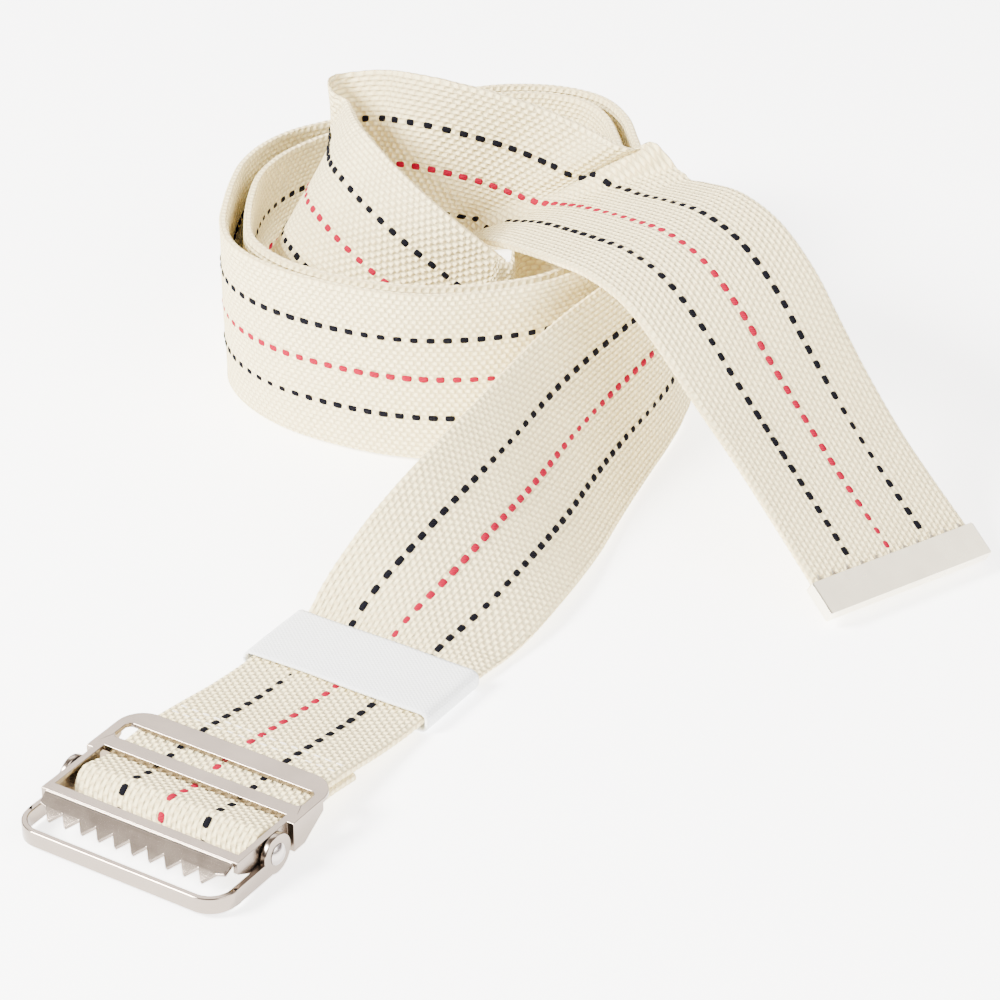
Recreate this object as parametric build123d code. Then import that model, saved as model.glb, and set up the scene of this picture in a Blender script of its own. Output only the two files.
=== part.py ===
from build123d import *
import math
import os

# Gait belt: cotton webbing, a toothed friction buckle, a sliding keeper and a crimped end tip.
# Origin: centre of the keeper's flat underside. X runs along the straight length, from the buckle
# (negative) to the coil (positive). Y is the buckle pin's direction. Z is up. Millimetres.

# Webbing
strap_width = 50.8
strap_thickness = 2.4
section_spacing = 7.0
ply_gap = 0.15
fold_back_length = 37.0

# Keeper band
keeper_length = 23.0
keeper_wall = 1.2
keeper_clearance = 0.4

# Buckle pin
pin_x = -76.0
pin_height = 5.6
pin_radius = 2.0
pin_running_clearance = 0.05
pin_head_radius = 2.7
pin_head_height = 1.1
loop_clearance = 0.3

# Bail: the plain frame hinged on the pin
bail_reach = 23.0
bail_band = 1.5
bail_depth = 4.2
bail_top_above_pin = -0.2
bail_corner = 7.0
bail_ear_radius = 5.0

# Lever: the toothed plate hinged on the pin
lever_sheet = 1.2
lever_top_above_pin = 4.6
lever_reach = 25.0
lever_corner = 7.0
lever_ridge_reach = 13.0
lever_side_gap = 0.3
strap_side_gap = 1.1
window_front = 10.0
middle_bar_front = 8.4
middle_bar_width = 4.1
rear_bar_width = 6.0
slot_end_margin = 2.6
flare_start = 6.2
cheek_drop = 3.2
comb_length = 4.4
comb_slope = 30.0
tooth_depth = 3.0
tooth_pitch = 4.8
tooth_count = 10
strap_under_lever_gap = 0.6

# End tip
tip_length = 9.6
tip_wall = 0.5
tip_clearance = 0.3

# Sewing of the folded-back ply
stitch_width = 0.6
stitch_height = 0.35
stitch_lift = 0.05
stitch_inset = 3.0
stitch_rows = (31.0, 34.5)

# Sizes that follow
half_width = strap_width / 2
half_thickness = strap_thickness / 2
lever_inner = half_width + strap_side_gap
lever_outer = lever_inner + lever_sheet
arm_inner = lever_outer + lever_side_gap
arm_outer = arm_inner + bail_band
plate_bottom = pin_height + lever_top_above_pin - lever_sheet
loop_radius = pin_radius + loop_clearance + half_thickness
run_height = keeper_wall + keeper_clearance + half_thickness
upper_ply = plate_bottom - strap_under_lever_gap - half_thickness
ply_pitch = strap_thickness + ply_gap

# The strap's lie beyond the keeper, one row per station: x, y, z of its middle, then the direction of
# its left edge (x, y, z), then how far the crosswise line is skewed along the strap at that edge.
# The strap leans up onto its edge, makes two turns, turns back inside them, rises, folds over at the
# back and rolls flat across a diagonal before it slopes down to the tip.
lie = [
    (17, -0.6, 5.3, 0, 0.99, 0.09, 0),
    (22, -1.6, 8, 0.02, 0.97, 0.22, 0),
    (33, -4, 13, -0.05, 0.89, 0.43, 0),
    (46, -5, 17, -0.1, 0.81, 0.56, 0),
    (60, -4.5, 18.9, -0.11, 0.75, 0.65, 0),
    (75, -3, 19.9, -0.12, 0.68, 0.72, 0),
    (89, -1, 20.9, -0.11, 0.61, 0.78, 0),
    (103, 0.6, 22.1, -0.11, 0.54, 0.83, 0),
    (118, 1.4, 23.5, -0.11, 0.44, 0.89, 0),
    (132, 1.6, 24.8, -0.12, 0.33, 0.93, 0),
    (146, 2.5, 26, -0.12, 0.22, 0.97, 0),
    (160, 6, 26.6, -0.1, 0.13, 0.99, 0),
    (177, 19, 26.6, -0.05, 0.05, 1, 0),
    (192, 34.5, 26, 0, 0, 1, 0),
    (206, 46.5, 26, 0, 0, 1, 0),
    (217.5, 57, 26, 0, 0, 1, 0),
    (224, 69, 26, 0, 0, 1, 0),
    (223, 83, 26, 0, 0, 1, 0),
    (215.5, 96.5, 26, 0, 0, 1, 0),
    (204.5, 106, 26, 0, 0, 1, 0),
    (193, 112.5, 26, 0, 0, 1, 0),
    (181, 118, 26, 0, 0, 1, 0),
    (169.5, 124.5, 26, 0, 0, 1, 0),
    (158, 130, 26, 0, 0, 1, 0),
    (146, 131.8, 26, 0, 0, 1, 0),
    (134, 130, 26, 0, 0, 1, 0),
    (123, 125.5, 26, 0, 0, 1, 0),
    (112.5, 120, 26, 0, 0, 1, 0),
    (103, 114, 26, -0.02, 0, 1, 0),
    (95.5, 106, 26, -0.05, 0.02, 1, 0),
    (91, 97, 26, -0.06, 0.03, 1, 0),
    (88.7, 87, 26, -0.06, 0.03, 1, 0),
    (88.3, 77, 26, -0.06, 0.03, 1, 0),
    (89.2, 66.5, 26, -0.06, 0.03, 1, 0),
    (91.3, 56, 26, -0.06, 0.03, 1, 0),
    (95, 46, 26, -0.06, 0.03, 1, 0),
    (100, 37, 26.2, -0.05, 0.04, 1, 0),
    (106, 28.7, 26.5, -0.02, 0.05, 1, 0),
    (113, 22, 26.8, 0, 0.03, 1, 0),
    (122, 17.5, 26.8, 0, 0.02, 1, 0),
    (133, 15, 26.6, 0, 0, 1, 0),
    (146, 13.5, 26.4, 0, 0, 1, 0),
    (160, 14.5, 26.2, 0, 0, 1, 0),
    (174, 24, 26, 0, 0, 1, 0),
    (188.5, 38.5, 26, 0, 0, 1, 0),
    (203, 50.5, 26, 0, 0, 1, 0),
    (213.5, 60.5, 26, 0, 0, 1, 0),
    (219, 70.5, 26, 0, 0, 1, 0),
    (218, 82, 26, 0, 0, 1, 0),
    (211.5, 93, 26, 0, 0, 1, 0),
    (201.5, 101.5, 26, 0, 0, 1, 0),
    (190, 107.5, 26, 0, 0, 1, 0),
    (178, 113, 26, 0, 0, 1, 0),
    (166.5, 119, 26, 0.01, -0.03, 1, 0),
    (155, 123.2, 26, 0.02, -0.05, 1, 0),
    (143, 124.8, 26, 0.02, -0.05, 1, 0),
    (130.5, 123, 26, 0.03, -0.05, 1, 0),
    (118, 117.3, 26, 0.03, -0.05, 1, 0),
    (106.5, 109.8, 26, 0.02, -0.04, 1, 0),
    (98.8, 102.4, 26, 0, -0.01, 1, 0),
    (95, 94, 26, -0.04, 0, 1, 0),
    (92.8, 85, 26, -0.05, 0.02, 1, 0),
    (92.4, 76, 26, -0.05, 0.02, 1, 0),
    (93.2, 66.5, 26, -0.05, 0.03, 1, 0),
    (95.4, 57, 26, -0.05, 0.03, 1, 0),
    (99, 48, 26, -0.05, 0.03, 1, 0),
    (104, 39.5, 26, -0.04, 0.03, 1, 0),
    (110, 32, 26, -0.02, 0.03, 1, 0),
    (120, 24.5, 26, 0, 0, 1, 0),
    (130, 24, 25.8, 0.05, -0.1, 0.99, 0),
    (135.5, 30, 25.9, 0.2, -0.15, 0.97, 0),
    (133, 37.5, 25.6, 0.33, -0.25, 0.92, 0),
    (125, 42, 25.3, 0.36, -0.42, 0.83, 0),
    (118.5, 47.5, 27, 0.36, -0.49, 0.8, 0),
    (115, 55, 32.7, 0.38, -0.48, 0.8, 0),
    (111.7, 62.6, 38.9, 0.41, -0.46, 0.79, 0),
    (110.2, 69.2, 43.4, 0.44, -0.45, 0.78, 0),
    (110.3, 76.3, 47.3, 0.46, -0.44, 0.77, 0),
    (112.1, 83.7, 50.3, 0.46, -0.44, 0.77, 0),
    (115.4, 90.8, 52.4, 0.44, -0.44, 0.78, 0),
    (120.2, 97.3, 52.8, 0.41, -0.41, 0.81, 0),
    (126.5, 102, 52, 0.38, -0.36, 0.85, 0),
    (134, 105.5, 51.2, 0.36, -0.3, 0.88, 0),
    (142, 106.5, 50.8, 0.36, -0.22, 0.9, 0),
    (148, 103, 51.5, 0.4, -0.14, 0.9, 0),
    (149.5, 96.5, 53.5, 0.4, -0.1, 0.91, 0),
    (149.4, 89.1, 55, 0.34, -0.1, 0.93, 0),
    (151.3, 80.6, 55.2, 0.27, -0.1, 0.95, 0),
    (154.8, 72.6, 53.8, 0.2, -0.12, 0.97, 8),
    (158.5, 65, 51.7, 0.14, -0.13, 0.98, 16),
    (160.8, 57, 49.6, 0.13, -0.14, 0.97, 23),
    (160.3, 48.5, 48.6, 0.6, -0.25, 0.7, 26),
    (157, 40.5, 51.2, 0.88, -0.38, 0.25, 23),
    (152.5, 31.2, 54.8, 0.9, -0.4, 0.18, 16),
    (148, 21.9, 57.7, 0.91, -0.41, 0.16, 8),
    (141.6, 8.4, 61.5, 0.9, -0.4, 0.18, 0),
    (135.3, -5.5, 64.3, 0.9, -0.39, 0.2, 0),
    (129.7, -19.5, 62.5, 0.9, -0.4, 0.19, 0),
    (125.9, -32.1, 54.4, 0.91, -0.38, 0.17, 0),
    (123.5, -42.7, 43.5, 0.93, -0.34, 0.11, 0),
    (121, -53.5, 32.8, 0.95, -0.29, 0.06, 0),
    (117, -65.4, 23.2, 0.96, -0.27, 0.03, 0),
    (112, -78, 14.8, 0.97, -0.26, 0.04, 0),
    (106.6, -90.7, 7, 0.97, -0.25, 0.07, 0),
    (104.7, -95.2, 4.1, 0.97, -0.25, 0.08, 0),
]


def crossing(x, z):
    """A station of the straight part, where the strap lies square across the X axis."""
    return (x, 0.0, z, 0.0, 1.0, 0.0, 0.0)


def ply_height(distance):
    """Middle height of the upper ply, at this distance behind the pin."""
    levels = [(8.5, -0.2), (15.0, 0.0), (26.0, -0.1), (37.0, -1.5), (49.0, -3.3)]
    heights = [(d, upper_ply + drop) for d, drop in levels] + [(62.0, run_height)]
    for (d0, h0), (d1, h1) in zip(heights, heights[1:]):
        if distance <= d1:
            return h0 + (h1 - h0) * (distance - d0) / (d1 - d0)
    return run_height


def straight_stations():
    """From the folded-back end, round the pin, and on to the keeper."""
    rows = []
    for distance in (fold_back_length, 26.0, 15.0):
        rows.append(crossing(pin_x + distance, ply_height(distance) - ply_pitch))
    low = pin_height - loop_radius
    rows.append(crossing(pin_x + 9.0, upper_ply - ply_pitch - 0.8))
    rows.append(crossing(pin_x + 4.0, low + 0.2))
    for step in range(10):
        turn = math.radians(-95 - 20 * step)
        rows.append(crossing(pin_x + loop_radius * math.cos(turn), pin_height + loop_radius * math.sin(turn)))
    for distance in (8.5, 15.0, 26.0, 37.0, 49.0, 62.0, 76.0, 82.0, 88.5):
        rows.append(crossing(pin_x + distance, ply_height(distance)))
    return rows


def blend(a, b, c, d, t):
    """Catmull-Rom value between b and c."""
    return 0.5 * (2 * b + (c - a) * t + (2 * a - 5 * b + 4 * c - d) * t**2 + (3 * b - a - 3 * c + d) * t**3)


def fine_stations(rows):
    """The stations with others blended in between, none farther apart than the section spacing."""
    padded = [rows[0]] + rows + [rows[-1]]
    fine = []
    for i in range(1, len(padded) - 2):
        a, b, c, d = padded[i - 1 : i + 3]
        parts = max(1, math.ceil(math.dist(b[:3], c[:3]) / section_spacing))
        for part in range(parts):
            fine.append(tuple(blend(*values, part / parts) for values in zip(a, b, c, d)))
    fine.append(tuple(rows[-1]))
    return fine


def frames(rows):
    """Middle point, travel direction, half crosswise line and surface normal at each station."""
    middles = [Vector(*row[:3]) for row in rows]
    found = []
    for i, row in enumerate(rows):
        ahead = middles[min(i + 1, len(rows) - 1)]
        behind = middles[max(i - 1, 0)]
        along = (ahead - behind).normalized()
        across = Vector(*row[3:6])
        across = (across - along * across.dot(along)).normalized()
        half_line = across * half_width + along * row[6]
        normal = along.cross(across).normalized()
        found.append((middles[i], along, half_line, normal))
    return found


def section(frame):
    """The strap's rectangular outline at one station."""
    middle, _, half_line, normal = frame
    lift = normal * half_thickness
    corners = [middle + half_line + lift, middle + half_line - lift]
    corners += [middle - half_line - lift, middle - half_line + lift]
    return Wire.make_polygon(corners, close=True)


def make_webbing(found):
    return Solid.make_loft([section(frame) for frame in found], ruled=True)


def make_tip(frame):
    """Metal channel crimped over the strap's cut end, open on the strap's side."""
    middle, along, half_line, normal = frame
    outer_width = strap_width + 2 * (tip_clearance + tip_wall)
    outer_height = strap_thickness + 2 * (tip_clearance + tip_wall)
    inner_width = strap_width + 2 * tip_clearance
    inner_height = strap_thickness + 2 * tip_clearance
    plane = Plane(origin=middle, x_dir=half_line.normalized(), z_dir=along)
    front = tip_clearance + tip_wall
    outer = plane * Pos(0, 0, front - tip_length / 2) * Box(outer_width, outer_height, tip_length)
    hollow = plane * Pos(0, 0, tip_clearance - tip_length / 2) * Box(inner_width, inner_height, tip_length)
    return outer - hollow


def make_keeper():
    """Band round the strap, with rounded outer corners and a flat underside at Z = 0."""
    inner_width = strap_width + 2 * keeper_clearance
    inner_height = strap_thickness + 2 * keeper_clearance
    outer_height = inner_height + 2 * keeper_wall
    profile = Plane.YZ * Pos(0, outer_height / 2) * RectangleRounded(
        inner_width + 2 * keeper_wall, outer_height, 1.6
    )
    opening = Plane.YZ * Pos(0, outer_height / 2) * RectangleRounded(inner_width, inner_height, 0.4)
    return extrude(profile - opening, keeper_length / 2, both=True)


def stitch_bar(distance, height, slope):
    """One row of thread across the strap, at this distance behind the pin."""
    bar = Box(stitch_width, strap_width - 2 * stitch_inset, stitch_height)
    return Pos(pin_x + distance, 0, height) * Rot(0, slope, 0) * bar


def make_loop_stitching():
    """Rows of thread on the top of the upper ply and under the folded-back ply."""
    bars = []
    lift = half_thickness + stitch_lift + stitch_height / 2
    for distance in stitch_rows:
        rise = ply_height(distance + 1) - ply_height(distance)
        slope = -math.degrees(math.atan(rise))
        clear = lift / math.cos(math.radians(slope)) + 0.05
        bars.append(stitch_bar(distance, ply_height(distance) + clear, slope))
        bars.append(stitch_bar(distance, ply_height(distance) - ply_pitch - clear, slope))
    return Compound(bars)


def across_y(profile, low, high):
    """A side profile, drawn in X and Z, made solid between two Y values."""
    return Pos(0, high, 0) * extrude(Plane.XZ * profile, high - low)


def about_pin(x, z, item):
    """Place a profile from the pin's axis."""
    return Pos(pin_x + x, pin_height + z) * item


def both_sides(solid):
    return [solid, mirror(solid, about=Plane.XZ)]


def make_bail():
    """Bent band with a round ear at each end, turning on the pin."""
    height = pin_height + bail_top_above_pin - bail_depth
    length = bail_reach + bail_corner
    outer = Pos(pin_x - bail_reach + length / 2, 0) * RectangleRounded(length, 2 * arm_outer, bail_corner - 0.1)
    inner_length = length - bail_band
    inner = Pos(pin_x - bail_reach + bail_band + inner_length / 2, 0) * RectangleRounded(
        inner_length, 2 * arm_inner, bail_corner - bail_band - 0.1
    )
    keep = Pos(pin_x - bail_reach / 2, 0) * Rectangle(bail_reach, 3 * arm_outer)
    band = Pos(0, 0, height) * extrude((outer - inner) & keep, bail_depth)
    bail = band
    for ear in both_sides(across_y(about_pin(0, 0, Circle(bail_ear_radius)), arm_inner, arm_outer)):
        bail += ear
    hole = across_y(about_pin(0, 0, Circle(pin_radius + pin_running_clearance)), -2 * arm_outer, 2 * arm_outer)
    return bail - hole


def lever_top():
    """The lever's flat top: narrow between the ears, flared behind them, with a window and a slot."""
    rear_length = lever_reach - flare_start
    rear = Pos(pin_x + flare_start + rear_length / 2, 0) * Rectangle(rear_length, 2 * arm_outer)
    corners = rear.vertices().sort_by(Axis.X)[-2:]
    rear = fillet(corners, lever_corner)
    front_length = lever_ridge_reach + flare_start
    front = Pos(pin_x + (flare_start - lever_ridge_reach) / 2, 0) * Rectangle(front_length, 2 * lever_outer)
    window_length = window_front + middle_bar_front
    window_width = 2 * (lever_inner - 0.6)
    window = Pos(pin_x + (middle_bar_front - window_front) / 2, 0) * Rectangle(window_length, window_width)
    slot_front = middle_bar_front + middle_bar_width
    slot_rear = lever_reach - rear_bar_width
    slot_width = 2 * (arm_outer - slot_end_margin)
    slot = Pos(pin_x + (slot_front + slot_rear) / 2, 0) * RectangleRounded(
        slot_rear - slot_front, slot_width, 1.5
    )
    return Pos(0, 0, plate_bottom) * extrude(rear + front - window - slot, lever_sheet)


def lever_cheeks():
    """The folded-down sides: inside the ears at the pin, and out to full width behind them."""
    top = lever_top_above_pin
    front_points = [(-lever_ridge_reach, top), (-lever_ridge_reach, 1.6), (-4.0, -cheek_drop)]
    front_points += [(flare_start + lever_sheet, -cheek_drop), (flare_start + lever_sheet, top)]
    rear_points = [(flare_start, top), (flare_start, -cheek_drop), (flare_start + 4.0, -cheek_drop)]
    rear_points += [(lever_reach - lever_corner, 1.4), (lever_reach - lever_corner, top)]
    jog_points = [(flare_start, top), (flare_start, -cheek_drop)]
    jog_points += [(flare_start + lever_sheet, -cheek_drop), (flare_start + lever_sheet, top)]
    parts = []
    shapes = [(front_points, lever_inner, lever_outer), (rear_points, arm_outer - lever_sheet, arm_outer)]
    shapes.append((jog_points, lever_inner, arm_outer))
    for points, low, high in shapes:
        outline = make_face(Polyline(*[(pin_x + x, pin_height + z) for x, z in points], close=True))
        parts += both_sides(across_y(outline, low, high))
    return parts


def lever_comb():
    """The toothed front flange, sloping down and forward from the ridge."""
    slope = math.radians(comb_slope)
    width = tooth_pitch * tooth_count
    reach = comb_length + tooth_depth
    points = [(-width / 2 - 2.4, 0), (width / 2 + 2.4, 0), (width / 2 + 2.0, comb_length - 0.6)]
    for tooth in range(tooth_count):
        edge = width / 2 - tooth * tooth_pitch
        points += [(edge, comb_length), (edge - tooth_pitch / 2, reach)]
    points += [(-width / 2, comb_length), (-width / 2 - 2.0, comb_length - 0.6)]
    ridge = Vector(pin_x - lever_ridge_reach + 0.5, 0, pin_height + lever_top_above_pin)
    forward = Vector(-math.cos(slope), 0, -math.sin(slope))
    plane = Plane(origin=ridge, x_dir=(0, -1, 0), z_dir=Vector(0, -1, 0).cross(forward))
    flange = extrude(plane * make_face(Polyline(*points, close=True)), lever_sheet)
    if flange.bounding_box().max.Z > ridge.Z + 0.1:
        flange = extrude(plane * make_face(Polyline(*points, close=True)), -lever_sheet)
    return flange


def make_lever():
    """One stamped sheet: top, cheeks, comb and the middle bar's rolled front lip."""
    lever = lever_top()
    for cheek in lever_cheeks():
        lever += cheek
    lip = Pos(pin_x + middle_bar_front + 0.6, 0, plate_bottom - 0.2) * Box(1.2, 2 * lever_inner + 0.2, 0.6)
    lever = lever + lip + lever_comb()
    hole = across_y(about_pin(0, 0, Circle(pin_radius + pin_running_clearance)), -arm_inner, arm_inner)
    return lever - hole


def make_pin():
    """Pin through both ears and both cheeks, with a domed head outside each ear."""
    shank_end = arm_outer + 0.1
    pin = across_y(about_pin(0, 0, Circle(pin_radius)), -shank_end, shank_end)
    dome_radius = (pin_head_radius**2 + pin_head_height**2) / (2 * pin_head_height)
    ball = Pos(pin_x, shank_end + pin_head_height - dome_radius, pin_height) * Sphere(dome_radius)
    cap = across_y(about_pin(0, 0, Circle(2 * dome_radius)), shank_end, shank_end + pin_head_height)
    for head in both_sides(ball & cap):
        pin += head
    return pin


found = frames(fine_stations(straight_stations() + lie))
os.makedirs("parts", exist_ok=True)
export_step(make_webbing(found), "parts/webbing.step")
export_step(make_tip(found[-1]), "parts/strap_tip.step")
export_step(make_loop_stitching(), "parts/loop_stitching.step")
export_step(make_keeper(), "parts/keeper_band.step")
export_step(make_bail(), "parts/bail.step")
export_step(make_lever(), "parts/lever_plate.step")
export_step(make_pin(), "parts/pivot_pin.step")
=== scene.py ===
import math

import bpy
import numpy as np
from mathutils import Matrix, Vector


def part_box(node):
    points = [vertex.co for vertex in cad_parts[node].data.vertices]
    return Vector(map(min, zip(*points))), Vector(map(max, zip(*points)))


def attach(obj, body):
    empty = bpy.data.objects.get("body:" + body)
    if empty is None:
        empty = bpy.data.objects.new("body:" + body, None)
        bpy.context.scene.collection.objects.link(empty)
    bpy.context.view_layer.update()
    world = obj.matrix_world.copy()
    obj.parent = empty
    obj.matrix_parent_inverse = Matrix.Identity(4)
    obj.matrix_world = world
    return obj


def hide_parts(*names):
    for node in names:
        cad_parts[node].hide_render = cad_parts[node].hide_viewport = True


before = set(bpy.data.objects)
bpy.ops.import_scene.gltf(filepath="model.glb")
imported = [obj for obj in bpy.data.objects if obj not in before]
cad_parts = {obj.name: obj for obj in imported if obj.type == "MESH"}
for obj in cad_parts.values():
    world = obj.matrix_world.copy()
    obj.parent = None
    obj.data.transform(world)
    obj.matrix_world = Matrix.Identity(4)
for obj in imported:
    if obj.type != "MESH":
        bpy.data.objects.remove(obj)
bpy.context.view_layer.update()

bl_info = {
    "name": "Gait belt",
    "version": (1, 0, 0),
    "blender": (4, 2, 0),
    "location": "View3D > Sidebar > Gait belt",
    "description": "Builds a cotton webbing gait belt with its buckle, keeper and end tip",
    "category": "Object",
}

# The strap's lie beyond the keeper, in millimetres: x, y, z of its middle, the direction of its left
# edge, and how far the crosswise line is skewed along the strap at that edge. Same rows as the CAD.
lie = [
    (17, -0.6, 5.3, 0, 0.99, 0.09, 0),
    (22, -1.6, 8, 0.02, 0.97, 0.22, 0),
    (33, -4, 13, -0.05, 0.89, 0.43, 0),
    (46, -5, 17, -0.1, 0.81, 0.56, 0),
    (60, -4.5, 18.9, -0.11, 0.75, 0.65, 0),
    (75, -3, 19.9, -0.12, 0.68, 0.72, 0),
    (89, -1, 20.9, -0.11, 0.61, 0.78, 0),
    (103, 0.6, 22.1, -0.11, 0.54, 0.83, 0),
    (118, 1.4, 23.5, -0.11, 0.44, 0.89, 0),
    (132, 1.6, 24.8, -0.12, 0.33, 0.93, 0),
    (146, 2.5, 26, -0.12, 0.22, 0.97, 0),
    (160, 6, 26.6, -0.1, 0.13, 0.99, 0),
    (177, 19, 26.6, -0.05, 0.05, 1, 0),
    (192, 34.5, 26, 0, 0, 1, 0),
    (206, 46.5, 26, 0, 0, 1, 0),
    (217.5, 57, 26, 0, 0, 1, 0),
    (224, 69, 26, 0, 0, 1, 0),
    (223, 83, 26, 0, 0, 1, 0),
    (215.5, 96.5, 26, 0, 0, 1, 0),
    (204.5, 106, 26, 0, 0, 1, 0),
    (193, 112.5, 26, 0, 0, 1, 0),
    (181, 118, 26, 0, 0, 1, 0),
    (169.5, 124.5, 26, 0, 0, 1, 0),
    (158, 130, 26, 0, 0, 1, 0),
    (146, 131.8, 26, 0, 0, 1, 0),
    (134, 130, 26, 0, 0, 1, 0),
    (123, 125.5, 26, 0, 0, 1, 0),
    (112.5, 120, 26, 0, 0, 1, 0),
    (103, 114, 26, -0.02, 0, 1, 0),
    (95.5, 106, 26, -0.05, 0.02, 1, 0),
    (91, 97, 26, -0.06, 0.03, 1, 0),
    (88.7, 87, 26, -0.06, 0.03, 1, 0),
    (88.3, 77, 26, -0.06, 0.03, 1, 0),
    (89.2, 66.5, 26, -0.06, 0.03, 1, 0),
    (91.3, 56, 26, -0.06, 0.03, 1, 0),
    (95, 46, 26, -0.06, 0.03, 1, 0),
    (100, 37, 26.2, -0.05, 0.04, 1, 0),
    (106, 28.7, 26.5, -0.02, 0.05, 1, 0),
    (113, 22, 26.8, 0, 0.03, 1, 0),
    (122, 17.5, 26.8, 0, 0.02, 1, 0),
    (133, 15, 26.6, 0, 0, 1, 0),
    (146, 13.5, 26.4, 0, 0, 1, 0),
    (160, 14.5, 26.2, 0, 0, 1, 0),
    (174, 24, 26, 0, 0, 1, 0),
    (188.5, 38.5, 26, 0, 0, 1, 0),
    (203, 50.5, 26, 0, 0, 1, 0),
    (213.5, 60.5, 26, 0, 0, 1, 0),
    (219, 70.5, 26, 0, 0, 1, 0),
    (218, 82, 26, 0, 0, 1, 0),
    (211.5, 93, 26, 0, 0, 1, 0),
    (201.5, 101.5, 26, 0, 0, 1, 0),
    (190, 107.5, 26, 0, 0, 1, 0),
    (178, 113, 26, 0, 0, 1, 0),
    (166.5, 119, 26, 0.01, -0.03, 1, 0),
    (155, 123.2, 26, 0.02, -0.05, 1, 0),
    (143, 124.8, 26, 0.02, -0.05, 1, 0),
    (130.5, 123, 26, 0.03, -0.05, 1, 0),
    (118, 117.3, 26, 0.03, -0.05, 1, 0),
    (106.5, 109.8, 26, 0.02, -0.04, 1, 0),
    (98.8, 102.4, 26, 0, -0.01, 1, 0),
    (95, 94, 26, -0.04, 0, 1, 0),
    (92.8, 85, 26, -0.05, 0.02, 1, 0),
    (92.4, 76, 26, -0.05, 0.02, 1, 0),
    (93.2, 66.5, 26, -0.05, 0.03, 1, 0),
    (95.4, 57, 26, -0.05, 0.03, 1, 0),
    (99, 48, 26, -0.05, 0.03, 1, 0),
    (104, 39.5, 26, -0.04, 0.03, 1, 0),
    (110, 32, 26, -0.02, 0.03, 1, 0),
    (120, 24.5, 26, 0, 0, 1, 0),
    (130, 24, 25.8, 0.05, -0.1, 0.99, 0),
    (135.5, 30, 25.9, 0.2, -0.15, 0.97, 0),
    (133, 37.5, 25.6, 0.33, -0.25, 0.92, 0),
    (125, 42, 25.3, 0.36, -0.42, 0.83, 0),
    (118.5, 47.5, 27, 0.36, -0.49, 0.8, 0),
    (115, 55, 32.7, 0.38, -0.48, 0.8, 0),
    (111.7, 62.6, 38.9, 0.41, -0.46, 0.79, 0),
    (110.2, 69.2, 43.4, 0.44, -0.45, 0.78, 0),
    (110.3, 76.3, 47.3, 0.46, -0.44, 0.77, 0),
    (112.1, 83.7, 50.3, 0.46, -0.44, 0.77, 0),
    (115.4, 90.8, 52.4, 0.44, -0.44, 0.78, 0),
    (120.2, 97.3, 52.8, 0.41, -0.41, 0.81, 0),
    (126.5, 102, 52, 0.38, -0.36, 0.85, 0),
    (134, 105.5, 51.2, 0.36, -0.3, 0.88, 0),
    (142, 106.5, 50.8, 0.36, -0.22, 0.9, 0),
    (148, 103, 51.5, 0.4, -0.14, 0.9, 0),
    (149.5, 96.5, 53.5, 0.4, -0.1, 0.91, 0),
    (149.4, 89.1, 55, 0.34, -0.1, 0.93, 0),
    (151.3, 80.6, 55.2, 0.27, -0.1, 0.95, 0),
    (154.8, 72.6, 53.8, 0.2, -0.12, 0.97, 8),
    (158.5, 65, 51.7, 0.14, -0.13, 0.98, 16),
    (160.8, 57, 49.6, 0.13, -0.14, 0.97, 23),
    (160.3, 48.5, 48.6, 0.6, -0.25, 0.7, 26),
    (157, 40.5, 51.2, 0.88, -0.38, 0.25, 23),
    (152.5, 31.2, 54.8, 0.9, -0.4, 0.18, 16),
    (148, 21.9, 57.7, 0.91, -0.41, 0.16, 8),
    (141.6, 8.4, 61.5, 0.9, -0.4, 0.18, 0),
    (135.3, -5.5, 64.3, 0.9, -0.39, 0.2, 0),
    (129.7, -19.5, 62.5, 0.9, -0.4, 0.19, 0),
    (125.9, -32.1, 54.4, 0.91, -0.38, 0.17, 0),
    (123.5, -42.7, 43.5, 0.93, -0.34, 0.11, 0),
    (121, -53.5, 32.8, 0.95, -0.29, 0.06, 0),
    (117, -65.4, 23.2, 0.96, -0.27, 0.03, 0),
    (112, -78, 14.8, 0.97, -0.26, 0.04, 0),
    (106.6, -90.7, 7, 0.97, -0.25, 0.07, 0),
    (104.7, -95.2, 4.1, 0.97, -0.25, 0.08, 0),
]

MM = 0.001
SEWN_RUN = 0.1  # distance along the strap that takes in the sewn end, the loop and the lever
KEEPER_RUN = 0.18  # distance along the strap that takes in the run under the keeper
KEEPER_REACH = 0.0145  # how far the keeper's edge can get from its middle at rest
LEVER_REACH = 0.026  # how far behind the pin the floats are kept low for the lever
BOTH_FACES = (1, -1)  # upper and lower face, as the sign of the normal


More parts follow.
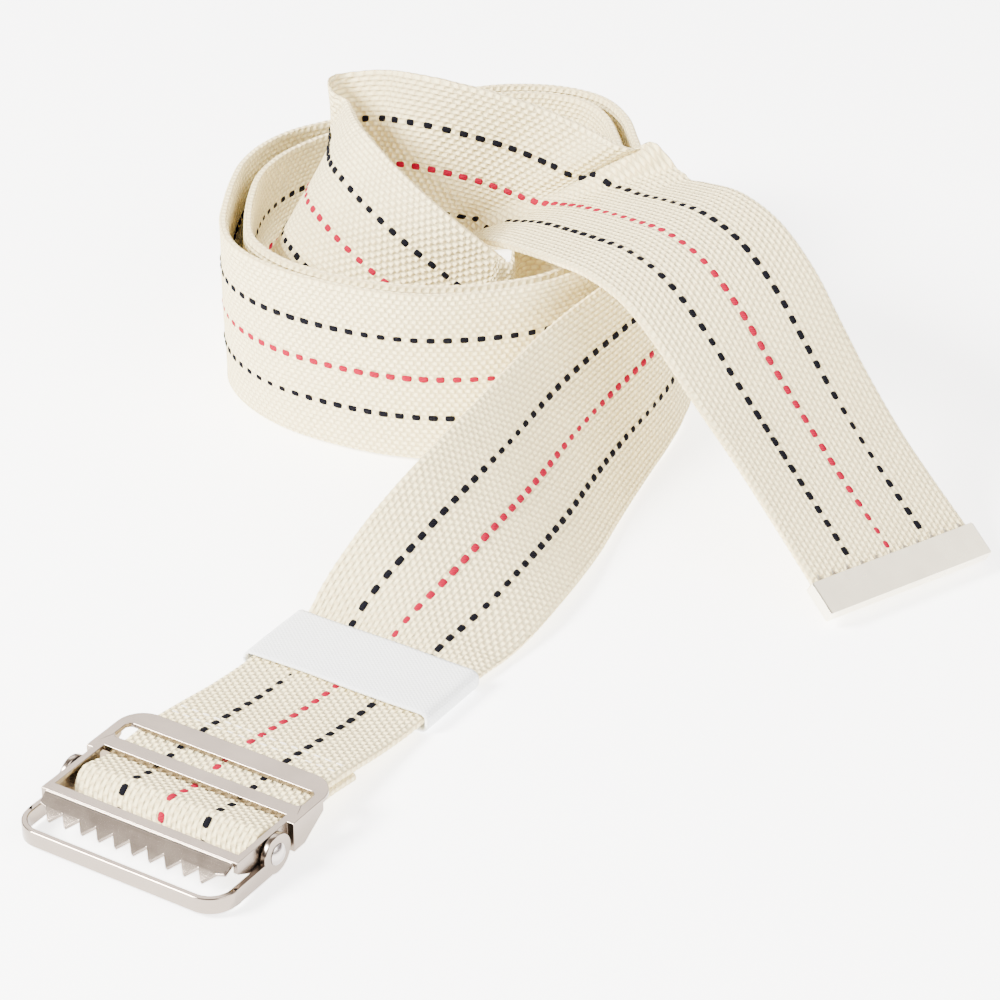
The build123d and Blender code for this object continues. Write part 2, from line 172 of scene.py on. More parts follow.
class StrapSettings(bpy.types.PropertyGroup):
    width: bpy.props.FloatProperty(
        name="Width", description="Width of the webbing", default=0.0508, unit="LENGTH"
    )
    thickness: bpy.props.FloatProperty(
        name="Thickness", description="Thickness of the webbing", default=0.0024, unit="LENGTH"
    )
    row_spacing: bpy.props.FloatProperty(
        name="Row spacing",
        description="Distance between mesh rows along the strap",
        default=0.0011, unit="LENGTH",
    )
    columns: bpy.props.IntProperty(
        name="Columns", description="Mesh columns across each face", default=26
    )
    fold_back: bpy.props.FloatProperty(
        name="Fold back",
        description="Length of the folded-back ply behind the pin",
        default=0.037, unit="LENGTH",
    )
    ply_pitch: bpy.props.FloatProperty(
        name="Ply pitch",
        description="Distance between the middles of the two plies",
        default=0.00255, unit="LENGTH",
    )
    upper_ply: bpy.props.FloatProperty(
        name="Upper ply",
        description="Middle height of the upper ply under the lever",
        default=0.0072, unit="LENGTH",
    )
    run_height: bpy.props.FloatProperty(
        name="Run height",
        description="Middle height of the strap inside the keeper",
        default=0.0028, unit="LENGTH",
    )
    loop_radius: bpy.props.FloatProperty(
        name="Loop radius",
        description="Middle radius of the loop round the pin",
        default=0.0035, unit="LENGTH",
    )
    selvedge_depth: bpy.props.FloatProperty(
        name="Selvedge depth",
        description="How far the edge dips between weft turns",
        default=0.00018, unit="LENGTH",
    )
    ripple: bpy.props.FloatProperty(
        name="Ripple",
        description="Height of the cloth's slow unevenness",
        default=0.00012, unit="LENGTH",
    )


class StripeSettings(bpy.types.PropertyGroup):
    pitch: bpy.props.FloatProperty(
        name="Pitch", description="Distance from one float to the next", default=0.0044, unit="LENGTH"
    )
    length: bpy.props.FloatProperty(
        name="Float length",
        description="Length of one float of coloured thread",
        default=0.0030, unit="LENGTH",
    )
    width: bpy.props.FloatProperty(
        name="Float width",
        description="Width of one float of coloured thread",
        default=0.0018, unit="LENGTH",
    )
    height: bpy.props.FloatProperty(
        name="Float height",
        description="How far a float stands above the cloth",
        default=0.00042, unit="LENGTH",
    )
    offset: bpy.props.FloatProperty(
        name="Offset",
        description="Distance of the dark lines from the middle",
        default=0.0119, unit="LENGTH",
    )
    end_gap: bpy.props.FloatProperty(
        name="End gap",
        description="Length of strap at the free end that has no floats",
        default=0.0105, unit="LENGTH",
    )
    share_at_pin: bpy.props.FloatProperty(
        name="Share at pin",
        description="Share of the full height that the floats inside the loop have",
        default=0.4, subtype="FACTOR",
    )
    share_under_parts: bpy.props.FloatProperty(
        name="Share under parts",
        description="Share of the full height that the floats under the lever and keeper have",
        default=0.62, subtype="FACTOR",
    )


class KeeperSettings(bpy.types.PropertyGroup):
    flare: bpy.props.FloatProperty(
        name="Flare",
        description="How far the band's inside opens at its two edges",
        default=0.00025, unit="LENGTH",
    )
    edge_round: bpy.props.FloatProperty(
        name="Edge round",
        description="How far the band's outside drops at its two edges",
        default=0.00008, unit="LENGTH",
    )
    wall: bpy.props.FloatProperty(
        name="Wall", description="Thickness of the keeper's band", default=0.0009, unit="LENGTH"
    )
    slack: bpy.props.FloatProperty(
        name="Slack", description="How far the band's edges wander", default=0.0003, unit="LENGTH"
    )
    corner: bpy.props.FloatProperty(
        name="Corner",
        description="Radius of the band's turn round the strap's edge",
        default=0.0022, unit="LENGTH",
    )


class BuckleSettings(bpy.types.PropertyGroup):
    pin: bpy.props.FloatVectorProperty(
        name="Pin", description="Middle of the pin's axis", default=(-0.076, 0.0, 0.0056), subtype="XYZ"
    )
    edge_round: bpy.props.FloatProperty(
        name="Edge round",
        description="Rounding of the sheet metal's edges",
        default=0.00028, unit="LENGTH",
    )


class StitchSettings(bpy.types.PropertyGroup):
    first_row: bpy.props.FloatProperty(
        name="First row",
        description="Distance of the first row behind the pin",
        default=0.031, unit="LENGTH",
    )
    second_row: bpy.props.FloatProperty(
        name="Second row",
        description="Distance of the second row behind the pin",
        default=0.0345, unit="LENGTH",
    )
    pitch: bpy.props.FloatProperty(
        name="Pitch", description="Distance from one stitch to the next", default=0.0032, unit="LENGTH"
    )
    length: bpy.props.FloatProperty(
        name="Stitch length", description="Length of one stitch", default=0.0027, unit="LENGTH"
    )
    width: bpy.props.FloatProperty(
        name="Stitch width", description="Width of one stitch", default=0.0006, unit="LENGTH"
    )
    height: bpy.props.FloatProperty(
        name="Stitch height",
        description="How far a stitch stands above the cloth",
        default=0.00034, unit="LENGTH",
    )
    inset: bpy.props.FloatProperty(
        name="Inset",
        description="Distance of a row's ends from the strap's edges",
        default=0.003, unit="LENGTH",
    )


def colour_setting(name, description, default):
    """A colour that the user may change."""
    return bpy.props.FloatVectorProperty(
        name=name, description=description, default=default, subtype="COLOR", size=3, min=0, max=1
    )


class ColourSettings(bpy.types.PropertyGroup):
    webbing: colour_setting("Webbing", "Cream cotton, on top of the weave", (1.0, 0.88, 0.50))
    # Painted shade: a darker cream, mixed in between the webbing's weave humps.
    webbing_painted_shade: colour_setting("Webbing painted shade", "Cream cotton, deep in the weave", (0.60, 0.44, 0.21))
    navy: colour_setting("Navy thread", "Outer pinstripes", (0.004, 0.004, 0.007))
    # Painted shade: a darker navy, striped along the thread's plies.
    navy_painted_shade: colour_setting("Navy painted shade", "Outer pinstripes, between the plies", (0.001, 0.001, 0.002))
    red: colour_setting("Red thread", "Middle pinstripe", (0.30, 0.001, 0.024))
    # Painted shade: a darker red, striped along the thread's plies.
    red_painted_shade: colour_setting("Red painted shade", "Middle pinstripe, between the plies", (0.16, 0.0, 0.012))
    sewing: colour_setting("Sewing thread", "Stitches across the sewn end", (0.88, 0.84, 0.76))
    # Painted shade: a darker cream, striped along the sewing thread's plies.
    sewing_painted_shade: colour_setting("Sewing painted shade", "Stitches, between the plies", (0.62, 0.56, 0.46))
    keeper: colour_setting("Keeper tape", "White keeper band", (0.88, 0.90, 0.905))
    # Painted shade: a greyer white, mixed in between the keeper tape's weave humps.
    keeper_painted_shade: colour_setting("Keeper painted shade", "White keeper band, deep in the weave", (0.72, 0.745, 0.76))
    nickel: colour_setting("Nickel", "Plate on the lever and the bail", (0.28, 0.232, 0.192))
    pin_nickel: colour_setting("Pin nickel", "Plate on the pin", (0.48, 0.435, 0.41))
    tip_nickel: colour_setting("Tip nickel", "Plate on the end tip", (1.0, 0.93, 0.74))


class StageSettings(bpy.types.PropertyGroup):
    camera: bpy.props.FloatVectorProperty(
        name="Camera",
        description="Where the camera stands",
        default=(-0.6440, -0.4518, 0.5200), subtype="XYZ",
    )
    target: bpy.props.FloatVectorProperty(
        name="Target",
        description="What the camera looks at",
        default=(0.0900, 0.0173, 0.0), subtype="XYZ",
    )
    lens: bpy.props.FloatProperty(
        name="Lens", description="Focal length in millimetres", default=139.0, unit="CAMERA"
    )


# ---- The strap's path and surface --------------------------------------------------------------


def crossing(x, z):
    """A station of the straight part, in millimetres."""
    return (x, 0.0, z, 0.0, 1.0, 0.0, 0.0)


def ply_height(strap, distance):
    """Middle height of the upper ply, in millimetres, at this distance behind the pin."""
    top = strap.upper_ply / MM
    run = strap.run_height / MM
    places = [8.5, 15.0, 26.0, 37.0, 49.0, 62.0]
    heights = [top - 0.2, top, top - 0.1, top - 1.5, top - 3.3, run]
    return float(np.interp(distance, places, heights))


def straight_stations(strap, buckle):
    """From the folded-back end, round the pin, and on to the keeper."""
    pin_x = buckle.pin[0] / MM
    pin_z = buckle.pin[2] / MM
    radius = strap.loop_radius / MM
    pitch = strap.ply_pitch / MM
    sewn = (strap.fold_back / MM, 26.0, 15.0)
    onward = (8.5, 15.0, 26.0, 37.0, 49.0, 62.0, 76.0, 82.0, 88.5)
    rows = [crossing(pin_x + d, ply_height(strap, d) - pitch) for d in sewn]
    rows.append(crossing(pin_x + 9.0, strap.upper_ply / MM - pitch - 0.8))
    rows.append(crossing(pin_x + 4.0, pin_z - radius + 0.2))
    for step in range(10):
        turn = math.radians(-95 - 20 * step)
        rows.append(crossing(pin_x + radius * math.cos(turn), pin_z + radius * math.sin(turn)))
    rows += [crossing(pin_x + d, ply_height(strap, d)) for d in onward]
    return rows


def blended(rows, spacing):
    """Catmull-Rom rows between the stations, no farther apart than the spacing."""
    a = np.array([rows[0]] + rows + [rows[-1]], float)
    fine = []
    for i in range(1, len(a) - 2):
        parts = max(2, math.ceil(np.linalg.norm(a[i + 1, :3] - a[i, :3]) / spacing))
        t = (np.arange(parts) / parts)[:, None]
        p, q, r, s = a[i - 1], a[i], a[i + 1], a[i + 2]
        square = 2 * p - 5 * q + 4 * r - s
        cube = 3 * q - p - 3 * r + s
        fine.append(0.5 * (2 * q + (r - p) * t + square * t**2 + cube * t**3))
    fine.append(a[-1:])
    return np.concatenate(fine)


class Surface:
    """The strap's middle surface: points by distance along it and by share of its half width."""

    def __init__(self, strap, buckle):
        fine = blended(straight_stations(strap, buckle) + lie, strap.row_spacing / MM)
        self.middle = fine[:, :3] * MM
        along = np.gradient(self.middle, axis=0)
        self.along = along / np.linalg.norm(along, axis=1)[:, None]
        across = fine[:, 3:6]
        across = across - (across * self.along).sum(1)[:, None] * self.along
        across /= np.linalg.norm(across, axis=1)[:, None]
        self.skew = fine[:, 6] * MM
        self.half = strap.width / 2
        self.pin = np.array(buckle.pin)
        self.loop_radius = strap.loop_radius
        self.line = across * self.half + self.along * self.skew[:, None]
        normal = np.cross(self.along, across)
        self.normal = normal / np.linalg.norm(normal, axis=1)[:, None]
        steps = np.linalg.norm(np.diff(self.middle, axis=0), axis=1)
        self.distance = np.concatenate([[0.0], np.cumsum(steps)])
        self.length = float(self.distance[-1])

    def at(self, distance, share):
        """Point, direction along, direction across and normal at one place on the surface."""
        d = self.distance + share * self.skew
        d = np.maximum.accumulate(d)
        row = float(np.interp(distance, d, np.arange(len(d))))
        low = min(int(row), len(d) - 2)
        mix = row - low
        point = self.middle + share * self.line
        where = point[low] * (1 - mix) + point[low + 1] * mix
        ahead = point[min(low + 3, len(d) - 1)] - point[max(low - 2, 0)]
        ahead /= np.linalg.norm(ahead)
        side = self.line[low] * (1 - mix) + self.line[low + 1] * mix
        normal = np.cross(ahead, side)
        normal /= np.linalg.norm(normal)
        return where, ahead, np.cross(normal, ahead), normal


def mesh_object(name, points, faces, uv=None, smooth=True):
    """A new mesh object, with its faces smooth and an optional UV pair for each vertex."""
    mesh = bpy.data.meshes.new(name)
    mesh.from_pydata([tuple(p) for p in points], [], [tuple(int(v) for v in f) for f in faces])
    mesh.update()
    if smooth:
        mesh.polygons.foreach_set("use_smooth", [True] * len(mesh.polygons))
    if uv is not None:
        layer = mesh.uv_layers.new(name="strap")
        index = np.empty(len(mesh.loops), dtype=np.int32)
        mesh.loops.foreach_get("vertex_index", index)
        layer.data.foreach_set("uv", np.asarray(uv, float)[index].ravel())
    obj = bpy.data.objects.new(name, mesh)
    bpy.context.scene.collection.objects.link(obj)
    return obj


def ring_faces(rows, around):
    """Quads joining each closed ring of points to the next, and a cap at each end."""
    i = np.arange(rows - 1)[:, None] * around
    j = np.arange(around)[None, :]
    k = (np.arange(around) + 1) % around
    quads = np.stack([i + j, i + k[None, :], i + around + k[None, :], i + around + j], -1).reshape(-1, 4)
    caps = [list(range(around))[::-1], list(range((rows - 1) * around, rows * around))]
    return [list(q) for q in quads] + caps


def edge_profile(columns, half_width, half_thickness):
    """Closed outline of the webbing's section: distance across and height, both from the middle."""
    round_in = 0.0011
    flat = np.linspace(-(half_width - round_in), half_width - round_in, columns)
    turn = np.radians(np.linspace(75, -75, 6))
    right = [(half_width - round_in + round_in * math.cos(t), half_thickness * math.sin(t)) for t in turn]
    left = [(-x, -z) for x, z in right]
    top = [(x, half_thickness) for x in flat]
    bottom = [(x, -half_thickness) for x in flat[::-1]]
    return np.array(top + right + bottom + left)


def sheet_to_webbing(surface, strap):
    """The closed webbing mesh, with its distance along and across as UV, in metres."""
    outline = edge_profile(strap.columns, surface.half, strap.thickness / 2)
    across = outline[:, 0]
    height = outline[:, 1]
    rows = len(surface.middle)
    share = across / surface.half
    d = surface.distance[:, None] + share[None, :] * surface.skew[:, None]
    weft_pitch = 0.0022
    edge_share = 0.07
    near_edge = np.clip((np.abs(share) - (1 - edge_share)) / edge_share, 0, 1)
    teeth = 0.5 - 0.5 * np.cos(d * 2 * math.pi / weft_pitch)
    pull = 1 - strap.selvedge_depth / surface.half * teeth * near_edge[None, :]
    wave = np.sin(d * 61 + share[None, :] * 3.1) + 0.6 * np.sin(d * 143 - share[None, :] * 5.3)
    lift = height[None, :] + strap.ripple * wave * (1 - near_edge[None, :])
    smooth_run = (surface.distance < SEWN_RUN)[:, None]
    lift = np.where(smooth_run, height[None, :], lift)
    points = (
        surface.middle[:, None, :]
        + surface.line[:, None, :] * (share[None, :] * pull)[..., None]
        + surface.normal[:, None, :] * lift[..., None]
    )
    uv = np.stack([d, np.broadcast_to(across[None, :], d.shape)], -1).reshape(-1, 2)
    return points.reshape(-1, 3), ring_faces(rows, len(outline)), uv


def pillow(where, ahead, side, normal, length, width, height, sunk):
    """A low rounded float of thread lying on a surface."""
    points = []
    for i in range(7):
        u = i / 6 * 2 - 1
        for j in range(5):
            v = j / 4 * 2 - 1
            round_off = math.sqrt(max(0.0, 1 - abs(u) ** 3.2))
            crown = math.sqrt(max(0.0, 1 - 0.92 * v * v))
            z = height * round_off * crown - sunk * (abs(u) ** 4)
            x = u * length / 2
            y = v * width / 2 * (0.45 + 0.55 * round_off)
            points.append(where + ahead * x + side * y + normal * z)
    return points


PILLOW_FACES = [(i * 5 + j, i * 5 + j + 1, i * 5 + j + 6, i * 5 + j + 5) for i in range(6) for j in range(4)]


def float_height(surface, stripe, distance, base):
    """Height of one float, lower where the pin, the lever or the keeper lies close to the cloth."""
    behind_pin = base[0] - surface.pin[0]
    reach = math.hypot(behind_pin, base[2] - surface.pin[2])
    if distance < SEWN_RUN and reach < surface.loop_radius:
        return stripe.height * stripe.share_at_pin
    under_lever = distance < SEWN_RUN and 0.0 < behind_pin < LEVER_REACH
    under_keeper = distance < KEEPER_RUN and abs(base[0]) < KEEPER_REACH
    return stripe.height * (stripe.share_under_parts if under_lever or under_keeper else 1.0)


def floats(surface, strap, stripe, share, start):
    """Every float of one stripe, on both faces of the strap."""
    points = []
    quads = []
    foot = strap.thickness / 2 - 0.00006
    distance = start
    while distance < surface.length - stripe.end_gap:
        where, ahead, side, normal = surface.at(distance, share)
        for face in BOTH_FACES:
            base = where + normal * (face * foot)
            length = stripe.length * (1 + 0.06 * math.sin(distance * 977 + share))
            height = float_height(surface, stripe, distance, base)
            first = len(points)
            points += pillow(base, ahead, side * face, normal * face, length, stripe.width, height, 0.00025)
            quads += [tuple(first + v for v in q) for q in PILLOW_FACES]
        distance += stripe.pitch
    return points, quads


# ---- Materials ---------------------------------------------------------------------------------


class Net:
    """Small helper that adds nodes to one tree and links them."""

    def __init__(self, tree):
        self.tree = tree

    def node(self, kind, **settings):
        made = self.tree.nodes.new(kind)
        for key, value in settings.items():
            setattr(made, key, value)
        return made

    def put(self, socket, value):
        if isinstance(value, bpy.types.NodeSocket):
            self.tree.links.new(value, socket)
        else:
            socket.default_value = value

    def math(self, operation, a, b=0.0, clamp=False):
        made = self.node("ShaderNodeMath", operation=operation, use_clamp=clamp)
        self.put(made.inputs[0], a)
        self.put(made.inputs[1], b)
        return made.outputs[0]

    def mix(self, share, a, b):
        made = self.node("ShaderNodeMix", data_type="RGBA")
        self.put(made.inputs[0], share)
        self.put(made.inputs[6], a)
        self.put(made.inputs[7], b)
        return made.outputs[2]

    def noise(self, vector, scale, detail=3.0, roughness=0.55):
        made = self.node("ShaderNodeTexNoise")
        if vector is not None:
            self.put(made.inputs["Vector"], vector)
        made.inputs["Scale"].default_value = scale
        made.inputs["Detail"].default_value = detail
        made.inputs["Roughness"].default_value = roughness
        return made.outputs[0]


def new_group(name, inputs, outputs):
    """A shader node group with its inputs (label, socket, default) and outputs (label, socket)."""
    group = bpy.data.node_groups.new(name, "ShaderNodeTree")
    for label, kind, default in inputs:
        socket = group.interface.new_socket(label, in_out="INPUT", socket_type=kind)
        if default is not None:
            socket.default_value = default
    for label, kind in outputs:
        group.interface.new_socket(label, in_out="OUTPUT", socket_type=kind)
    net = Net(group)
    return group, net, net.node("NodeGroupInput"), net.node("NodeGroupOutput")


def weave_group():
    """Pebbly plain weave: rounded humps in rows, each row set half a hump on from the last."""
    group, net, given, put = new_group(
        "Plain weave",
        [
            ("Place", "NodeSocketVector", None),
            ("Hump length", "NodeSocketFloat", 0.0022),
            ("Hump width", "NodeSocketFloat", 0.00125),
            ("Unevenness", "NodeSocketFloat", 0.3),
        ],
        [("Height", "NodeSocketFloat"), ("Gap shade", "NodeSocketFloat")],
    )
    split = net.node("ShaderNodeSeparateXYZ")
    net.put(split.inputs[0], given.outputs["Place"])
    drift = net.noise(given.outputs["Place"], 420.0, 2.0)
    shift = net.math("MULTIPLY", net.math("SUBTRACT", drift, 0.5), given.outputs["Unevenness"])
    rows = net.math("DIVIDE", split.outputs[1], given.outputs["Hump width"])
    rows = net.math("ADD", rows, shift)
    odd = net.math("FLOORED_MODULO", net.math("FLOOR", rows), 2.0)
    along = net.math("DIVIDE", split.outputs[0], given.outputs["Hump length"])
    along = net.math("ADD", net.math("ADD", along, shift), net.math("MULTIPLY", odd, 0.5))
    hump = net.math("COSINE", net.math("MULTIPLY", along, 2 * math.pi))
    hump = net.math("MULTIPLY", net.math("ADD", hump, 1.0), 0.5)
    ridge = net.math("ABSOLUTE", net.math("SINE", net.math("MULTIPLY", rows, math.pi)))
    height = net.math("MULTIPLY", net.math("POWER", hump, 0.7), net.math("POWER", ridge, 0.8))
    net.put(put.inputs["Height"], height)
    # Where the humps part: the mask for the shade painted between them.
    gap_shade_mask = net.math("SUBTRACT", 1.0, net.math("MULTIPLY", height, 2.6), clamp=True)
    net.put(put.inputs["Gap shade"], gap_shade_mask)
    return group


def fibre_group():
    """Fine fuzz and slow mottling, for cotton."""
    group, net, given, put = new_group(
        "Cotton fibre",
        [("Place", "NodeSocketVector", None), ("Scale", "NodeSocketFloat", 1.0)],
        [("Fuzz", "NodeSocketFloat"), ("Mottle", "NodeSocketFloat")],
    )
    scaled = net.node("ShaderNodeVectorMath", operation="SCALE")
    net.put(scaled.inputs[0], given.outputs["Place"])
    net.put(scaled.inputs["Scale"], given.outputs["Scale"])
    net.put(put.inputs["Fuzz"], net.noise(scaled.outputs[0], 5200.0, 3.0, 0.7))
    net.put(put.inputs["Mottle"], net.noise(scaled.outputs[0], 90.0, 3.0, 0.5))
    return group


def metal_group():
    """Plated sheet: faint rolling marks, small dings and handling haze."""
    group, net, given, put = new_group(
        "Plated sheet",
        [("Place", "NodeSocketVector", None), ("Stretch", "NodeSocketFloat", 14.0)],
        [("Marks", "NodeSocketFloat"), ("Haze", "NodeSocketFloat"), ("Dings", "NodeSocketFloat")],
    )
    split = net.node("ShaderNodeSeparateXYZ")
    net.put(split.inputs[0], given.outputs["Place"])
    joined = net.node("ShaderNodeCombineXYZ")
    net.put(joined.inputs[0], net.math("MULTIPLY", split.outputs[0], given.outputs["Stretch"]))
    net.put(joined.inputs[1], split.outputs[1])
    net.put(joined.inputs[2], net.math("MULTIPLY", split.outputs[2], given.outputs["Stretch"]))
    net.put(put.inputs["Marks"], net.noise(joined.outputs[0], 260.0, 4.0, 0.6))
    net.put(put.inputs["Haze"], net.noise(given.outputs["Place"], 75.0, 4.0, 0.55))
    net.put(put.inputs["Dings"], net.noise(given.outputs["Place"], 210.0, 1.0, 0.4))
    return group


def material(name):
    """A new material, its net and its surface shader."""
    made = bpy.data.materials.new(name)
    made.use_nodes = True
    tree = made.node_tree
    shader = next(n for n in tree.nodes if n.type == "BSDF_PRINCIPLED")
    return made, Net(tree), shader


def use_group(net, group, **values):
    """A group node, with each input set by its name (an underscore stands for a space)."""
    made = net.node("ShaderNodeGroup", node_tree=group)
    for key, value in values.items():
        net.put(made.inputs[key.replace("_", " ")], value)
    return made


def bump(net, height, distance, strength=1.0, below=None):
    """A bumped normal, on top of another one if that is given."""
    made = net.node("ShaderNodeBump")
    made.inputs["Distance"].default_value = distance
    made.inputs["Strength"].default_value = strength
    net.put(made.inputs["Height"], height)
    if below is not None:
        net.put(made.inputs["Normal"], below)
    return made.outputs[0]


def cotton(name, groups, pale, shade, hump_length, hump_width, depth):
    """Woven cotton: pebbled relief, painted shade between the humps, fuzz and a slight sheen. Sizes in
    metres.
    """
    made, net, shader = material(name)
    place = net.node("ShaderNodeUVMap", uv_map="strap").outputs[0]
    weave = use_group(net, groups["weave"], Place=place, Hump_length=hump_length, Hump_width=hump_width)
    fibre = use_group(net, groups["fibre"], Place=place, Scale=1.0)
    # Painted shade: the shade colour is mixed in between the humps, where the weave's hollows fall into
    # shade.
    gap_shade_mask = net.math("MULTIPLY", weave.outputs["Gap shade"], 0.66)
    mottle = net.math("MULTIPLY", net.math("SUBTRACT", fibre.outputs["Mottle"], 0.45), 0.5, clamp=True)
    colour = net.mix(gap_shade_mask, (*pale, 1), (*shade, 1))
    between = [0.5 * (p + s) for p, s in zip(pale, shade)]
    colour = net.mix(mottle, colour, (*between, 1))
    net.put(shader.inputs["Base Color"], colour)
    shader.inputs["Roughness"].default_value = 0.92
    shader.inputs["Specular IOR Level"].default_value = 0.15
    shader.inputs["Sheen Weight"].default_value = 0.12
    shader.inputs["Sheen Roughness"].default_value = 0.6
    fuzz = bump(net, fibre.outputs["Fuzz"], 0.00006, 0.7)
    net.put(shader.inputs["Normal"], bump(net, weave.outputs["Height"], depth, 1.0, fuzz))
    return made


def thread(name, groups, colour, ply_shade, twist=2600.0):
    """Twisted thread: fine slanted plies with painted shade along them, soft and matt."""
    made, net, shader = material(name)
    place = net.node("ShaderNodeTexCoord").outputs["Object"]
    fibre = use_group(net, groups["fibre"], Place=place, Scale=1.0)
    split = net.node("ShaderNodeSeparateXYZ")
    net.put(split.inputs[0], place)
    slant = net.math("ADD", net.math("ADD", split.outputs[0], split.outputs[1]), split.outputs[2])
    plies = net.math("SINE", net.math("MULTIPLY", slant, twist * 2.6))
    plies = net.math("MULTIPLY", net.math("ADD", plies, 1.0), 0.5)
    share = net.math("MULTIPLY", plies, fibre.outputs["Fuzz"])
    # Painted shade: a darker copy of the thread colour in slanted stripes, standing for the shade between
    # the plies.
    net.put(shader.inputs["Base Color"], net.mix(share, (*colour, 1), (*ply_shade, 1)))
    shader.inputs["Roughness"].default_value = 0.85
    shader.inputs["Specular IOR Level"].default_value = 0.06
    net.put(shader.inputs["Normal"], bump(net, plies, 0.00008, 0.8))
    return made


def plated(name, groups, colour, roughness, stretch):
    """Nickel plate with faint marks, haze in its gloss and small dings."""
    made, net, shader = material(name)
    place = net.node("ShaderNodeTexCoord").outputs["Object"]
    sheet = use_group(net, groups["metal"], Place=place, Stretch=stretch)
    dull = tuple(c * 0.86 for c in colour)
    net.put(shader.inputs["Base Color"], net.mix(sheet.outputs["Haze"], (*colour, 1), (*dull, 1)))
    shader.inputs["Metallic"].default_value = 1.0
    spread = net.math("MULTIPLY", sheet.outputs["Haze"], 0.16)
    scuffs = net.math("MULTIPLY", sheet.outputs["Marks"], 0.06)
    rough = net.math("ADD", net.math("ADD", spread, scuffs), roughness)
    net.put(shader.inputs["Roughness"], rough)
    marks = bump(net, sheet.outputs["Marks"], 0.00002, 0.5)
    net.put(shader.inputs["Normal"], bump(net, sheet.outputs["Dings"], 0.00012, 0.5, marks))
    return made


def shared_groups():
    """The shader groups, made once and kept by name."""
    makers = {
        "weave": ("Plain weave", weave_group),
        "fibre": ("Cotton fibre", fibre_group),
        "metal": ("Plated sheet", metal_group),
    }
    made = {}
    for key, (label, make) in makers.items():
        made[key] = bpy.data.node_groups.get(label) or make()
    return made


def paint_cad(node, made):
    """Gives a CAD node's object a material in every slot."""
    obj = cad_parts[node]
    if not obj.material_slots:
        raise RuntimeError(f"{node} has no material slot")
    for slot in obj.material_slots:
        slot.link = "OBJECT"
        slot.material = made
    return obj


# ---- Operators ---------------------------------------------------------------------------------


class GAITBELT_OT_webbing(bpy.types.Operator):
    """Builds the webbing and its woven pinstripes"""

    bl_idname = "gaitbelt.webbing"
    bl_label = "Webbing"

    def execute(self, context):
        scene = context.scene
        strap = scene.gait_strap
        stripe = scene.gait_stripe
        colours = scene.gait_colours
        groups = shared_groups()
        surface = Surface(strap, scene.gait_buckle)
        points, faces, uv = sheet_to_webbing(surface, strap)
        webbing = mesh_object("webbing_cloth", points, faces, uv)
        weave = (0.0021, 0.0014, 0.0008)
        cream = cotton("Cream cotton webbing", groups, colours.webbing, colours.webbing_painted_shade, *weave)
        webbing.data.materials.append(cream)
        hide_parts("webbing")
        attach(webbing, "belt")
        navy = thread("Navy thread", groups, colours.navy, colours.navy_painted_shade)
        red = thread("Red thread", groups, colours.red, colours.red_painted_shade)
        share = stripe.offset / surface.half
        lines = [
            ("stripe_left", share, 0.0, navy),
            ("stripe_middle", 0.0, 0.5, red),
            ("stripe_right", -share, 0.0, navy),
        ]
        for name, place, step, paint in lines:
            start = stripe.pitch * (0.5 + step)
            float_points, quads = floats(surface, strap, stripe, place, start)
            line = mesh_object(name, float_points, quads)
            line.data.materials.append(paint)
            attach(line, "belt")
        return {"FINISHED"}


class GAITBELT_OT_stitching(bpy.types.Operator):
    """Sews the rows of stitches that hold the folded-back ply"""

    bl_idname = "gaitbelt.stitching"
    bl_label = "Loop stitching"

    def execute(self, context):
        scene = context.scene
        colours = scene.gait_colours
        points = []
        quads = []
        for row in (scene.gait_stitch.first_row, scene.gait_stitch.second_row):
            for face in BOTH_FACES:
                more_points, more_quads = stitch_row(scene, row, face, len(points))
                points += more_points
                quads += more_quads
        stitches = mesh_object("loop_stitches", points, quads)
        cream = thread("Cream sewing thread", shared_groups(), colours.sewing, colours.sewing_painted_shade, 4200.0)
        stitches.data.materials.append(cream)
        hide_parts("loop_stitching")
        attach(stitches, "belt")
        return {"FINISHED"}


def stitch_row(scene, row, face, first):
    """One row of stitches on the upper (1) or lower (-1) outer face of the sewn plies."""
    strap = scene.gait_strap
    stitch = scene.gait_stitch
    height = ply_height(strap, row / MM) * MM
    if face < 0:
        height -= strap.ply_pitch
    rise = (ply_height(strap, row / MM + 1) - ply_height(strap, row / MM - 1)) / 2
    ahead = np.array([1.0, 0.0, rise])
    ahead /= np.linalg.norm(ahead)
    side = np.array([0.0, 1.0, 0.0])
    normal = np.cross(ahead, side) * face
    lift = strap.thickness / 2 - 0.00005
    points = []
    quads = []
    y = stitch.inset - strap.width / 2
    while y < strap.width / 2 - stitch.inset:
        where = np.array([scene.gait_buckle.pin[0] + row, y, height]) + normal * lift
        start = first + len(points)
        size = (stitch.length, stitch.width, stitch.height)
        points += pillow(where, side, ahead, normal, *size, 0.0003)
        quads += [tuple(start + v for v in q) for q in PILLOW_FACES]
        y += stitch.pitch
    return points, quads


